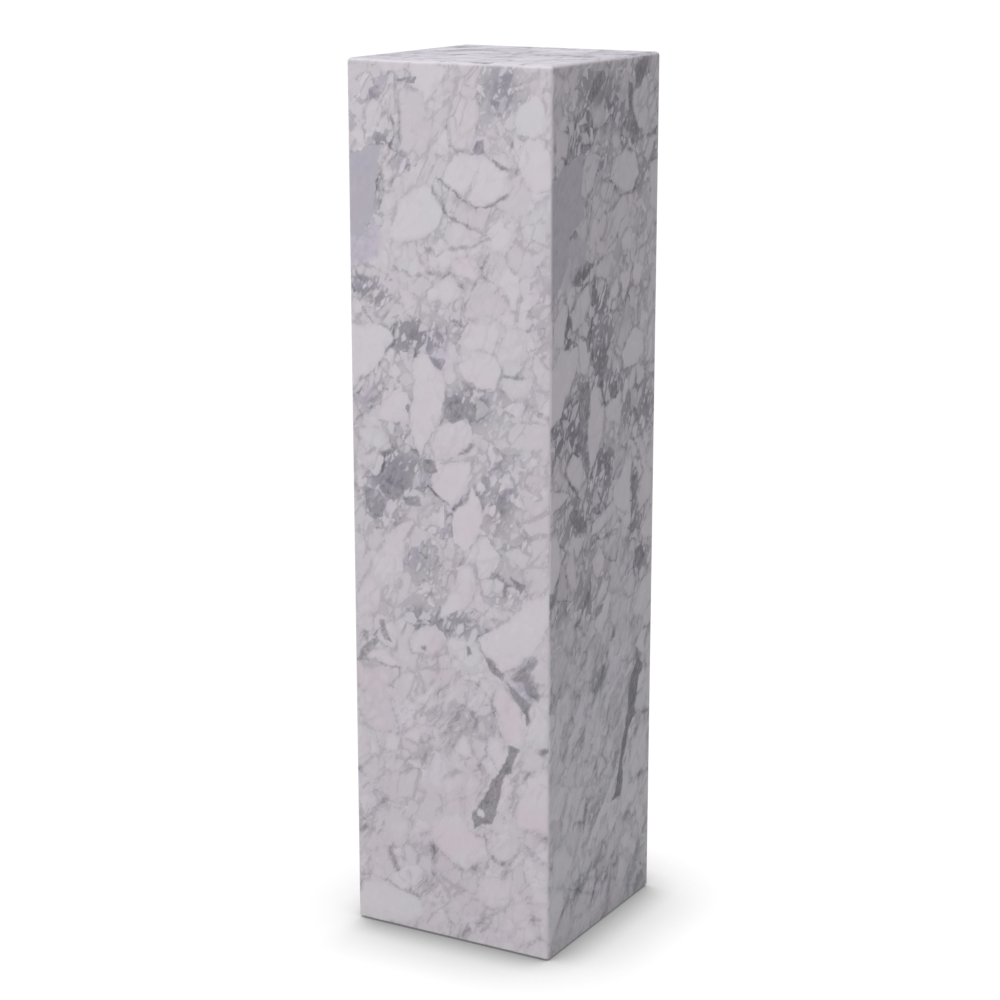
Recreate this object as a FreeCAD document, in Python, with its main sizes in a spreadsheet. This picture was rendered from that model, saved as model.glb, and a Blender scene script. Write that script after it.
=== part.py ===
import FreeCAD, Part
import os
import re
from FreeCAD import Placement, Rotation, Vector
import Sketcher

# A square pedestal column stand, 1 m tall: a hollow box of five honed marble slabs, mitred
# and glued round a timber core, which stands on four screw levellers.
# Millimetres. +Z is up, the front slab faces -Y, and the origin is on the floor, under the
# middle of the column. Each leveller is drawn screwed right in, which is how it stands.

# ---------------------------------------------------------------- driving dimensions
SIZES = (
    # the marble box
    ("width", 254.0),  # square plan, outside
    ("height", 1000.0),  # floor to top face
    ("slab", 15.0),  # thickness of every slab
    ("arris", 4.5),  # radius rubbed on the upright and top edges
    ("foot_arris", 1.2),  # small bevel round the bottom edge
    ("shadow_gap", 2.0),  # bottom edge of the slabs above the floor
    # the timber core
    ("post", 30.0),  # square corner posts
    ("glue_relief", 6.0),  # corner of a post or board cut back over the glue line
    ("backer", 18.0),  # board glued under the top slab
    ("rib", 12.0),  # the two boards half way up
    ("rib_hole_radius", 30.0),
    ("lower_rib_height", 345.0),
    ("upper_rib_height", 656.0),
    ("base", 18.0),  # base board
    ("base_height", 14.0),  # its underside above the floor
    ("cleat", 25.0),  # square battens that the base board is screwed to
    # wood screws
    ("screw_radius", 2.0),
    ("screw_length", 38.0),
    ("screw_head_radius", 4.0),
    ("screw_head", 2.0),
    ("screw_clearance", 0.2),
    # levellers
    ("leveller_at", 75.0),  # from the middle planes
    ("thread_radius", 4.0),  # M8 x 1.25
    ("thread_clearance", 0.05),
    ("insert_radius", 5.5),
    ("insert", 13.0),
    ("pad_radius", 15.0),
    ("pad_height", 8.5),
    ("socket_floor", 3.0),
    ("socket_roof", 6.8),
    ("socket_radius", 7.4),
    ("socket_mouth_radius", 4.4),
    ("head_radius", 7.0),  # the flat head of the stud, which turns in the socket
    ("play", 0.3),
    ("hex_across", 14.0),  # spanner size
    ("hex_bottom", 8.8),
    ("hex_top", 13.7),
    ("stud_top", 44.0),
)

SIDES = (("front", 0), ("right", 90), ("back", 180), ("left", 270))  # turned about Z
CORNERS = (("front_right", 0), ("back_right", 90), ("back_left", 180), ("front_left", 270))

document = FreeCAD.newDocument("PedestalColumnStand")
sheet = document.addObject("Spreadsheet::Sheet", "Sizes")
for row, (alias, value) in enumerate(SIZES, start=1):
    sheet.set(f"A{row}", alias)
    sheet.set(f"B{row}", str(value))
    sheet.setAlias(f"B{row}", alias)
document.recompute()

parts = []  # the finished sub-parts, in order


def size(alias):
    return float(sheet.get(alias))


def refer(word, aliases):
    return f"Sizes.{word}" if word in aliases else word


def expression(text):
    """A formula in the sheet's words, with each word turned into a reference to its cell."""
    aliases = {alias for alias, _ in SIZES}
    return re.sub("[a-z_]+", lambda word: refer(word.group(), aliases), text)


def bind(thing, **formulas):
    for name, text in formulas.items():
        thing.setExpression(name.replace("__", "."), expression(text))


def finish(thing, label, turn=0, at=(0, 0, 0)):
    """Label a sub-part, put it in its place and list it for export."""
    thing.Label = label
    thing.Placement = Placement(Vector(*at), Rotation(Vector(0, 0, 1), turn))
    parts.append(thing)
    return thing


# ---------------------------------------------------------------- sketch and feature helpers
def new_body(name):
    return document.addObject("PartDesign::Body", name)


def plane_of(body, role):
    return next(feature for feature in body.Origin.OriginFeatures if feature.Role == role)


def new_sketch(body, name, role="XY_Plane", lift="0"):
    """A sketch on one of the body's own planes, moved along the plane's normal by lift."""
    sketch = body.newObject("Sketcher::SketchObject", name)
    sketch.AttachmentSupport = [(plane_of(body, role), "")]
    sketch.MapMode = "FlatFace"
    bind(sketch, AttachmentOffset__Base__z=lift)
    return sketch


def value_of(text):
    """The number that a formula gives now, as the first guess of a constraint."""
    return float(sheet.evalExpression(expression(text)))


def pin_point(sketch, geometry, end, x_text, y_text):
    """Fix one point of a sketch at a place that the sheet gives."""
    for kind, text in (("DistanceX", x_text), ("DistanceY", y_text)):
        if text.strip() == "0":
            held = "PointOnObject"
            axis = -2 if kind == "DistanceX" else -1
            sketch.addConstraint(Sketcher.Constraint(held, geometry, end, axis))
            continue
        index = sketch.addConstraint(
            Sketcher.Constraint(kind, -1, 1, geometry, end, value_of(text))
       )
        sketch.setExpression(f"Constraints[{index}]", expression(text))


def outline(sketch, corners):
    """A closed outline of straight lines through corners, each a pair of formulas."""
    points = [Vector(value_of(x), value_of(y), 0) for x, y in corners]
    first = sketch.GeometryCount
    count = len(points)
    for i, point in enumerate(points):
        sketch.addGeometry(Part.LineSegment(point, points[(i + 1) % count]), False)
    for i in range(count):
        joined = first + (i + 1) % count
        sketch.addConstraint(Sketcher.Constraint("Coincident", first + i, 2, joined, 1))
    for i, (x, y) in enumerate(corners):
        pin_point(sketch, first + i, 1, x, y)


def circle(sketch, radius, x="0", y="0"):
    centre = Vector(value_of(x), value_of(y), 0)
    ring = sketch.addGeometry(Part.Circle(centre, Vector(0, 0, 1), value_of(radius)), False)
    pin_point(sketch, ring, 3, x, y)
    index = sketch.addConstraint(Sketcher.Constraint("Radius", ring, value_of(radius)))
    sketch.setExpression(f"Constraints[{index}]", expression(radius))


def rectangle(sketch, left, right, bottom, top):
    outline(sketch, ((left, bottom), (right, bottom), (right, top), (left, top)))


def hexagon(sketch, across):
    """A regular hexagon on the origin, with two flats square to X."""
    half = f"{across} / 2"
    point = f"{across} / sqrt(3)"
    low_point = f"{across} / sqrt(12)"
    outline(sketch, (
        (half, f"-{low_point}"), (half, low_point), ("0", point),
        (f"-{half}", low_point), (f"-{half}", f"-{low_point}"),
        ("0", f"-{point}"),
   ))


def pad(body, sketch, length, name="Pad"):
    feature = body.newObject("PartDesign::Pad", name)
    feature.Profile = sketch
    bind(feature, Length=length)
    return feature


def pocket(body, sketch, depth, name="Pocket", upwards=False):
    """Cut along the sketch, down by default, and make sure that it took material away."""
    document.recompute()
    before = body.Shape.Volume
    feature = body.newObject("PartDesign::Pocket", name)
    feature.Profile = sketch
    feature.Reversed = upwards
    bind(feature, Length=depth)
    document.recompute()
    if not body.Shape.Volume < before - 1e-3:
        raise RuntimeError(f"{body.Name}.{name} cuts nothing")
    return feature


def revolve(body, corners, name="Turned"):
    """A turned solid about Z: corners are radius and height pairs on the XZ plane."""
    sketch = new_sketch(body, f"{name}Profile", "XZ_Plane")
    outline(sketch, corners)
    feature = body.newObject("PartDesign::Revolution", name)
    feature.Profile = sketch
    feature.ReferenceAxis = (sketch, ["V_Axis"])
    feature.Angle = 360
    return feature


def soften(body, kind, edges, name, **formulas):
    """A fillet or chamfer on the edges of the body's tip that the test picks out."""
    document.recompute()
    tip = body.Tip
    chosen = [f"Edge{i + 1}" for i, edge in enumerate(tip.Shape.Edges) if edges(edge)]
    feature = body.newObject(kind, name)
    feature.Base = (tip, chosen)
    bind(feature, **formulas)
    return feature


def is_upright(edge):
    start, end = edge.Vertexes[0].Point, edge.Vertexes[-1].Point
    return abs(start.z - end.z) > 1 and start.distanceToPoint(end) - abs(start.z - end.z) < 1e-6


# ---------------------------------------------------------------- the marble box
# The rounded outside of the whole column, which every slab is cut from.
block = new_body("RoundedBlock")
block_plan = new_sketch(block, "Plan", lift="shadow_gap")
rectangle(block_plan, "-width / 2", "width / 2", "-width / 2", "width / 2")
pad(block, block_plan, "height - shadow_gap", "Column")
soften(block, "PartDesign::Fillet",
       lambda edge: is_upright(edge) or edge.BoundBox.ZMin > size("height") - 1e-6,
       "RubbedArrises", Radius="arris")
soften(block, "PartDesign::Chamfer",
       lambda edge: edge.BoundBox.ZMax < size("shadow_gap") + 1e-6,
       "FootBevel", Size="foot_arris")


def mitred_slab(name, **formulas):
    """A slab whose edges run back at 45 degrees: a wedge, tapering from face to back."""
    blank = document.addObject("Part::Wedge", f"{name}_blank")
    bind(blank, Xmin="-width / 2", Xmax="width / 2",
         X2min="slab - width / 2", X2max="width / 2 - slab", **formulas)
    return blank


def side_slab(side, turn):
    blank = mitred_slab(
        side, Ymin="-width / 2", Ymax="slab - width / 2",
        Zmin="shadow_gap", Z2min="shadow_gap", Zmax="height", Z2max="height - slab")
    blank.Placement = Placement(Vector(), Rotation(Vector(0, 0, 1), turn))
    slab = document.addObject("Part::Common", f"Slab_{side}")
    slab.Base = block
    slab.Tool = blank
    finish(slab, f"slab_{side}")


def top_slab():
    blank = mitred_slab(
        "top", Ymin="0", Ymax="slab", Zmin="-width / 2", Zmax="width / 2",
        Z2min="slab - width / 2", Z2max="width / 2 - slab")
    blank.Placement = Placement(Vector(0, 0, size("height")), Rotation(Vector(1, 0, 0), -90))
    slab = document.addObject("Part::Common", "Slab_top")
    slab.Base = block
    slab.Tool = blank
    finish(slab, "slab_top")


for side_name, side_turn in SIDES:
    side_slab(side_name, side_turn)
top_slab()


# ---------------------------------------------------------------- the timber core
INSIDE = "width / 2 - slab"  # from the middle plane to the back of a slab


def inside():
    return value_of(INSIDE)


def corner_post(corner, turn):
    """A square post, its outer corner cut back so that it clears the glue in the mitre."""
    post = new_body(f"Post_{corner}")
    section = new_sketch(post, "Section", lift="base_height + base")
    outline(section, (
        (f"{INSIDE} - post", f"-({INSIDE})"),
        (f"{INSIDE} - glue_relief", f"-({INSIDE})"),
        (INSIDE, f"glue_relief - ({INSIDE})"),
        (INSIDE, f"post - ({INSIDE})"),
        (f"{INSIDE} - post", f"post - ({INSIDE})"),
   ))
    pad(post, section, "height - slab - backer - base_height - base", "Length")
    finish(post, f"corner_post_{corner}", turn)


def backer_board():
    """Plywood under the top slab: it spreads the load over the posts."""
    board = new_body("Backer")
    plan = new_sketch(board, "Plan", lift="height - slab - backer")
    near = f"{INSIDE} - glue_relief"
    outline(plan, (
        (near, f"-({INSIDE})"), (INSIDE, f"-({near})"),
        (INSIDE, near), (near, INSIDE),
        (f"-({near})", INSIDE), (f"-({INSIDE})", near),
        (f"-({INSIDE})", f"-({near})"), (f"-({near})", f"-({INSIDE})"),
   ))
    pad(board, plan, "backer", "Board")
    finish(board, "backer_board")


def rib_board(name, height):
    """A board notched round the posts, which keeps the tall slabs from bowing."""
    board = new_body(f"Rib_{name}")
    plan = new_sketch(board, "Plan", lift=height)
    near = f"{INSIDE} - post"
    outline(plan, (
        (near, f"-({INSIDE})"), (near, f"-({near})"), (INSIDE, f"-({near})"),
        (INSIDE, near), (near, near), (near, INSIDE),
        (f"-({near})", INSIDE), (f"-({near})", near), (f"-({INSIDE})", near),
        (f"-({INSIDE})", f"-({near})"), (f"-({near})", f"-({near})"),
        (f"-({near})", f"-({INSIDE})"),
   ))
    circle(plan, "rib_hole_radius")
    pad(board, plan, "rib", "Board")
    finish(board, f"rib_board_{name}")


def base_cleat(side, turn):
    """A batten along the foot of a slab, bored for its screw."""
    cleat = new_body(f"Cleat_{side}")
    plan = new_sketch(cleat, "Plan", lift="base_height + base")
    length = f"{INSIDE} - post"
    rectangle(plan, f"-({length})", length,
              f"-({INSIDE})", f"cleat - ({INSIDE})")
    pad(cleat, plan, "cleat", "Batten")
    bore = new_sketch(cleat, "Bore", lift="base_height + base")
    circle(bore, "screw_radius + screw_clearance", "0", f"cleat / 2 - ({INSIDE})")
    pocket(cleat, bore, "screw_length - base + screw_clearance", "ScrewBore", upwards=True)
    finish(cleat, f"base_cleat_{side}", turn)


def base_board():
    """The plywood base, bored for the threaded inserts and the screws."""
    board = new_body("Base")
    plan = new_sketch(board, "Plan", lift="base_height")
    rectangle(plan, f"-({INSIDE})", INSIDE, f"-({INSIDE})", INSIDE)
    pad(board, plan, "base", "Board")
    bores = new_sketch(board, "Bores", lift="base_height")
    for x, y in ((1, -1), (1, 1), (-1, 1), (-1, -1)):
        circle(bores, "insert_radius", f"{x} * leveller_at", f"{y} * leveller_at")
    for across in (f"cleat / 2 - ({INSIDE})", f"{INSIDE} - cleat / 2"):
        circle(bores, "screw_radius + screw_clearance", "0", across)
        circle(bores, "screw_radius + screw_clearance", across, "0")
    pocket(board, bores, "base", "InsertAndScrewBores", upwards=True)
    finish(board, "base_board")


def wood_screw(side, turn):
    """A pan-head screw driven up through the base board into the middle of a cleat."""
    screw = new_body(f"Screw_{side}")
    revolve(screw, (
        ("0", "base_height - screw_head"),
        ("screw_head_radius", "base_height - screw_head"),
        ("screw_head_radius", "base_height"),
        ("screw_radius", "base_height"),
        ("screw_radius", "base_height + screw_length"),
        ("0", "base_height + screw_length"),
    ), "HeadAndShank")
    out = Rotation(Vector(0, 0, 1), turn).multVec(Vector(0, size("cleat") / 2 - inside(), 0))
    screw.Placement = Placement(out, Rotation())
    return screw


def base_screws():
    """One screw in each cleat, four loose solids in one group."""
    group = document.addObject("Part::Compound", "Screws")
    group.Links = [wood_screw(side, turn) for side, turn in SIDES]
    finish(group, "base_screws")


for corner_name, corner_turn in CORNERS:
    corner_post(corner_name, corner_turn)
backer_board()
rib_board("lower", "lower_rib_height")
rib_board("upper", "upper_rib_height")
for side_name, side_turn in SIDES:
    base_cleat(side_name, side_turn)
base_board()
base_screws()


# ---------------------------------------------------------------- the four levellers
# Each is drawn on the Z axis and then moved to its corner. Its stud screws up and down in the
# threaded insert, and its flat head turns in the pad, which keeps still on the floor.
def threaded_insert(corner, at):
    """A steel sleeve let into the base board, flush with its underside."""
    insert = new_body(f"Insert_{corner}")
    revolve(insert, (
        ("thread_radius", "base_height"),
        ("insert_radius", "base_height"),
        ("insert_radius", "base_height + insert"),
        ("thread_radius", "base_height + insert"),
    ), "Sleeve")
    finish(insert, f"threaded_insert_{corner}", at=at)


def stud(corner, at):
    screw = new_body(f"Stud_{corner}")
    revolve(screw, (
        ("0", "socket_floor + play"),
        ("head_radius", "socket_floor + play"),
        ("head_radius", "socket_roof - play"),
        ("thread_radius - thread_clearance", "socket_roof - play"),
        ("thread_radius - thread_clearance", "stud_top"),
        ("0", "stud_top"),
    ), "HeadAndShank")
    flats = new_sketch(screw, "SpannerFlats", lift="hex_bottom")
    hexagon(flats, "hex_across")
    pad(screw, flats, "hex_top - hex_bottom", "Hexagon")
    finish(screw, f"leveller_stud_{corner}", at=at)


def foot_pad(corner, at):
    foot = new_body(f"Pad_{corner}")
    revolve(foot, (
        ("0", "0"),
        ("pad_radius", "0"),
        ("pad_radius", "pad_height"),
        ("socket_mouth_radius", "pad_height"),
        ("socket_mouth_radius", "socket_roof"),
        ("socket_radius", "socket_roof"),
        ("socket_radius", "socket_floor"),
        ("0", "socket_floor"),
    ), "FootWithSocket")
    finish(foot, f"leveller_pad_{corner}", at=at)


for corner_name, corner_turn in CORNERS:
    place = Rotation(Vector(0, 0, 1), corner_turn).multVec(
        Vector(size("leveller_at"), -size("leveller_at"), 0))
    at_corner = tuple(round(value, 9) for value in place)
    threaded_insert(corner_name, at_corner)
    stud(corner_name, at_corner)
    foot_pad(corner_name, at_corner)


# ---------------------------------------------------------------- check and write
document.recompute()
for thing in document.Objects:
    if "Invalid" in thing.State or "Error" in thing.State:
        raise RuntimeError(f"{thing.Label} failed: {thing.State}")
for part in parts:
    if part.Shape.isNull() or not part.Shape.isValid():
        raise RuntimeError(f"{part.Label} has no valid shape")

os.makedirs("parts", exist_ok=True)
for part in parts:
    part.Shape.exportStep(f"parts/{part.Label}.step")
    box = part.Shape.BoundBox
    print(f"{part.Label}: {len(part.Shape.Solids)} solid(s), {part.Shape.Volume / 1000:.1f} cm3, "
          f"x {box.XMin:.1f}..{box.XMax:.1f}, y {box.YMin:.1f}..{box.YMax:.1f}, "
          f"z {box.ZMin:.1f}..{box.ZMax:.1f}")
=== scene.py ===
import math

import bpy
import numpy as np
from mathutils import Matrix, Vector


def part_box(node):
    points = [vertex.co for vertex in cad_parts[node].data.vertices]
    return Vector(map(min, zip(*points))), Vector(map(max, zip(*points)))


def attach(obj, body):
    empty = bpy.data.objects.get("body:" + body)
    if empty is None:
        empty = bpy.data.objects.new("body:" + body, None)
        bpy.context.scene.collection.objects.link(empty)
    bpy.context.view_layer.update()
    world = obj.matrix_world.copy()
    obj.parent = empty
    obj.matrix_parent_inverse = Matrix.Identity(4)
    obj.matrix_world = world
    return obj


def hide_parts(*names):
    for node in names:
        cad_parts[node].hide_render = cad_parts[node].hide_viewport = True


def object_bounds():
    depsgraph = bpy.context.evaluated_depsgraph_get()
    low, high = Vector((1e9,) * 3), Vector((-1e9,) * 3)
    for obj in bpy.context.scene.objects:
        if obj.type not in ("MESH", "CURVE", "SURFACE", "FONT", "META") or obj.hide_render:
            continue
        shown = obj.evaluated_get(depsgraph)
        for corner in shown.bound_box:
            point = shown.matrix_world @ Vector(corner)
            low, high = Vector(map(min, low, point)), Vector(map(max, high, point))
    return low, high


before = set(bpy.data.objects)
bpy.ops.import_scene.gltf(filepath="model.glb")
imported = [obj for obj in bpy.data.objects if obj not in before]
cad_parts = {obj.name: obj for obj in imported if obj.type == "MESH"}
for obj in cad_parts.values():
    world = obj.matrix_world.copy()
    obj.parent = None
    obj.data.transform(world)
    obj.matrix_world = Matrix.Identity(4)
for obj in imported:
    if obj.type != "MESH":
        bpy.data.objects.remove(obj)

cad_low, cad_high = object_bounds()

# ---------------------------------------------------------------- sizes, from the frame
MM = 0.001
HALF = cad_high.x  # middle plane to the outside of a slab
HEIGHT = cad_high.z
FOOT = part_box("slab_front")[0].z  # lower edge of the slabs
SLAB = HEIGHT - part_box("slab_top")[0].z
ARRIS = (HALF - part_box("slab_front")[1].x) / (1 - math.cos(math.pi / 4))
FOOT_BEVEL = 1.2 * MM
FACE_WIDTH = 2 * HALF / MM  # a slab's face, in millimetres
FACE_HEIGHT = HEIGHT / MM


# ================================================================ pattern of the marble
# u runs across a face from its left edge and v down from the top, both in millimetres.
def scatter(column, row, seed):
    """A steady random number from 0 to 1 for each cell of a lattice, by integer hashing."""
    mixed = (column.astype(np.int64) * 374761393 + row.astype(np.int64) * 668265263
             + seed * 974711) & 0xFFFFFFFF
    mixed = ((mixed ^ (mixed >> 13)) * 1274126177) & 0xFFFFFFFF
    mixed = ((mixed ^ (mixed >> 15)) * 739982445) & 0xFFFFFFFF
    return ((mixed ^ (mixed >> 16)) & 0xFFFFFF) / float(0x1000000)


def drift(u, v, size, seed, octaves=3):
    """Cloudy noise from -1 to 1: value noise on a lattice, eased, halved at each octave."""
    total, strength, reach = 0.0, 1.0, 0.0
    for octave in range(octaves):
        x, y = u / size, v / size
        column, row = np.floor(x), np.floor(y)
        fx, fy = x - column, y - row
        fx, fy = fx * fx * (3 - 2 * fx), fy * fy * (3 - 2 * fy)
        corner = [scatter(column + i, row + j, seed + 31 * octave)
                  for j in (0, 1) for i in (0, 1)]
        upper = corner[0] + (corner[1] - corner[0]) * fx
        lower = corner[2] + (corner[3] - corner[2]) * fx
        total = total + strength * (2 * (upper + (lower - upper) * fy) - 1)
        reach += strength
        strength *= 0.5
        size *= 0.5
    return total / reach


def rubble(u, v, size, seed, lean=(0.45, 0.89), stretch=1.35):
    """Voronoi cells stretched along the lean: depth inside the cell in mm, and its number.

    The seed points are jittered on a lattice. The depth is the least distance to the plane
    halfway to another seed point."""
    across = (u * lean[1] + v * lean[0]) / size
    along = (v * lean[1] - u * lean[0]) / (size * stretch)
    column, row = np.floor(across), np.floor(along)
    points = []
    for j in range(-2, 3):
        for i in range(-2, 3):
            c, r = column + i, row + j
            points.append((c + 0.12 + 0.76 * scatter(c, r, seed) - across,
                           r + 0.12 + 0.76 * scatter(c, r, seed + 7) - along,
                           scatter(c, r, seed + 13)))
    span = np.stack([x * x + y * y * stretch * stretch for x, y, _ in points])
    nearest = span.argmin(0)
    pick = np.arange(nearest.size)
    xs, ys, numbers = (np.stack([p[k] for p in points]) for k in range(3))
    x0, y0 = xs[nearest, pick], ys[nearest, pick]
    depth = np.full(nearest.shape, 9.0)
    for k in range(len(points)):
        dx, dy = xs[k] - x0, (ys[k] - y0) * stretch
        apart = np.hypot(dx, dy)
        halfway = ((xs[k] + x0) * dx + (ys[k] + y0) * stretch * dy) / (2 * apart + 1e-9)
        depth = np.where(apart > 1e-6, np.minimum(depth, halfway), depth)
    return depth * size, numbers[nearest, pick]


def corners(row):
    """The points of a row of coordinates x1,y1, x2,y2 and so on."""
    return list(zip(row[::2], row[1::2]))


def inside_outline(u, v, outline):
    """Signed distance in mm to a closed outline of straight sides, positive inside."""
    nearest = np.full(u.shape, 1e9)
    inside = np.zeros(u.shape, bool)
    points = corners(outline)
    for (x1, y1), (x2, y2) in zip(points, points[1:] + points[:1]):
        ex, ey = x2 - x1, y2 - y1
        along = np.clip(((u - x1) * ex + (v - y1) * ey) / (ex * ex + ey * ey), 0, 1)
        nearest = np.minimum(nearest, np.hypot(u - x1 - along * ex, v - y1 - along * ey))
        crosses = (y1 > v) != (y2 > v)
        inside ^= crosses & (u < x1 + (v - y1) * ex / (ey if ey else 1e-9))
    return np.where(inside, nearest, -nearest)


def side_of_line(u, v, line):
    """Signed distance in mm to a line of straight runs, with its sign from the side of the
    nearest run that the point is on."""
    nearest = np.full(u.shape, 1e9)
    side = np.ones(u.shape)
    points = corners(line)
    for (x1, y1), (x2, y2) in zip(points, points[1:]):
        ex, ey = x2 - x1, y2 - y1
        along = np.clip(((u - x1) * ex + (v - y1) * ey) / (ex * ex + ey * ey), 0, 1)
        away = np.hypot(u - x1 - along * ex, v - y1 - along * ey)
        closer = away < nearest
        side = np.where(closer, np.sign(ex * (v - y1) - ey * (u - x1)), side)
        nearest = np.minimum(nearest, away)
    return nearest * np.where(side == 0, 1, side)


# The stones that can be told apart on the front slab and on the slab round the corner from it.
# Whiteness from 0 to 1, warmth from -1 (green-white) to 1 (rose), outline in millimetres as a row
# of u,v pairs.
FRONT_STONES = (
    (0.92, 0.0, (22,67, 25,53, 33,43, 47,52, 43,67, 27,78, 21,75)),
    (0.85, 0.3, (67,33, 80,28, 97,33, 100,53, 115,70, 103,90, 73,98, 65,97, 67,67)),
    (0.9, 0.5, (133,40, 143,23, 160,28, 167,47, 163,70, 150,95, 133,90, 130,67)),
    (0.8, -0.2, (100,53, 117,47, 132,40, 130,63, 113,67, 103,62)),
    (1.0, -0.6, (213,43, 230,28, 246,38, 246,67, 230,78, 210,72)),
    (0.98, 0.1, (132,100, 160,95, 177,100, 200,115, 200,133, 173,152, 160,153, 143,143, 120,127)),
    (0.98, -0.2, (83,137, 100,133, 117,147, 123,160, 113,180, 97,190, 67,197, 53,187, 60,170,
     67,150)),
    (0.92, 0.1, (133,167, 150,173, 173,180, 160,193, 133,198, 120,187)),
    (0.97, 0.0, (97,247, 130,227, 143,233, 143,250, 123,260, 100,257)),
    (0.88, 0.4, (147,270, 160,247, 187,240, 197,253, 197,263, 177,277, 150,273)),
    (0.8, -0.4, (7,230, 17,223, 38,227, 37,235, 13,237)),
    (0.78, 0.2, (33,277, 57,257, 63,263, 43,283)),
    (0.9, -0.3, (217,160, 247,143, 248,187, 220,180)),
    (0.88, -0.2, (47,143, 63,140, 62,157, 50,167, 38,163)),
    (1.0, -0.3, (-3,290, 33,288, 57,293, 60,300, 50,312, 40,325, 25,345, 13,352, -3,368)),
    (0.97, 0.2, (80,322, 93,316, 108,320, 120,335, 122,353, 120,376, 117,390, 110,401, 103,405,
     90,433, 83,416, 76,400, 80,376, 82,353)),
    (0.98, 0.1, (138,325, 165,308, 187,312, 193,333, 187,347, 165,350, 147,342)),
    (0.88, -0.4, (193,333, 233,333, 230,353, 207,357, 195,347)),
    (0.95, 0.4, (110,396, 120,391, 133,388, 143,383, 155,393, 157,413, 147,420, 133,430, 123,435,
     110,433, 103,416)),
    (0.97, 0.5, (110,443, 130,436, 157,430, 155,447, 147,467, 133,483, 117,477, 103,465)),
    (0.92, -0.5, (7,410, 30,405, 47,408, 52,417, 57,430, 43,433, 27,430, 10,420)),
    (0.88, 0.0, (7,443, 30,433, 43,440, 38,457, 30,465, 13,450)),
    (1.0, 0.5, (157,456, 162,466, 167,480, 168,500, 160,520, 147,535, 133,526, 132,500, 133,490,
     147,476, 152,466)),
    (0.95, 0.3, (80,506, 82,510, 67,530, 67,550, 65,567, 53,583, 37,593, 33,617, 20,627, 5,623,
     3,610, 10,590, 23,567, 37,543, 50,523, 67,510)),
    (0.97, 0.3, (143,550, 160,547, 162,567, 157,590, 143,603, 123,613, 112,618, 115,607, 130,583,
     137,567)),
    (1.0, 0.2, (257,560, 257,597, 233,637, 220,653, 193,667, 187,657, 167,643, 163,630, 187,617,
     207,600, 227,580)),
    (0.92, 0.3, (72,647, 87,630, 110,623, 125,637, 117,653, 100,663, 77,661)),
    (0.88, 0.2, (187,400, 213,383, 250,378, 257,400, 227,413, 197,417, 182,405)),
    (0.85, 0.1, (197,527, 217,520, 233,530, 230,547, 207,543)),
    (0.85, 0.1, (213,493, 257,477, 257,500, 230,507)),
    (0.85, -0.5, (-3,493, 13,490, 18,500, 13,517, -3,533)),
    (0.9, -0.7, (167,563, 187,557, 198,563, 193,578, 170,580)),
    (0.8, 0.2, (123,530, 140,537, 140,553, 123,560, 112,547)),
    (0.96, 0.3, (11,676, 22,666, 40,665, 58,674, 52,681, 30,677)),
    (0.9, 0.5, (-3,686, 33,684, 50,687, 50,703, 33,720, 7,717)),
    (0.85, 0.1, (63,683, 87,677, 110,680, 97,700, 77,720, 53,713)),
    (0.98, 0.5, (187,687, 197,683, 213,703, 222,723, 217,747, 200,753, 193,727, 182,703)),
    (0.92, -0.6, (230,693, 257,683, 257,747, 227,747, 223,723)),
    (0.9, 0.5, (113,810, 133,793, 157,793, 170,800, 157,830, 147,853, 120,840)),
    (0.97, 0.4, (100,857, 140,840, 150,863, 173,867, 177,880, 163,900, 147,913, 123,900, 100,880)),
    (0.97, 0.3, (213,800, 227,783, 247,770, 257,775, 257,847, 213,847)),
    (0.9, 0.0, (177,880, 200,867, 220,857, 213,880, 197,893, 183,890)),
    (0.93, 0.1, (163,920, 187,910, 213,917, 203,940, 180,950, 167,943)),
    (1.0, -0.6, (7,953, 40,950, 83,960, 93,977, 67,993, 20,999, 0,999, 0,975)),
    (0.88, 0.1, (20,913, 40,903, 50,927, 43,943, 23,947, 13,930)),
    (0.85, 0.2, (127,950, 143,937, 163,943, 160,960, 140,967, 123,960)),
)
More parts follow.
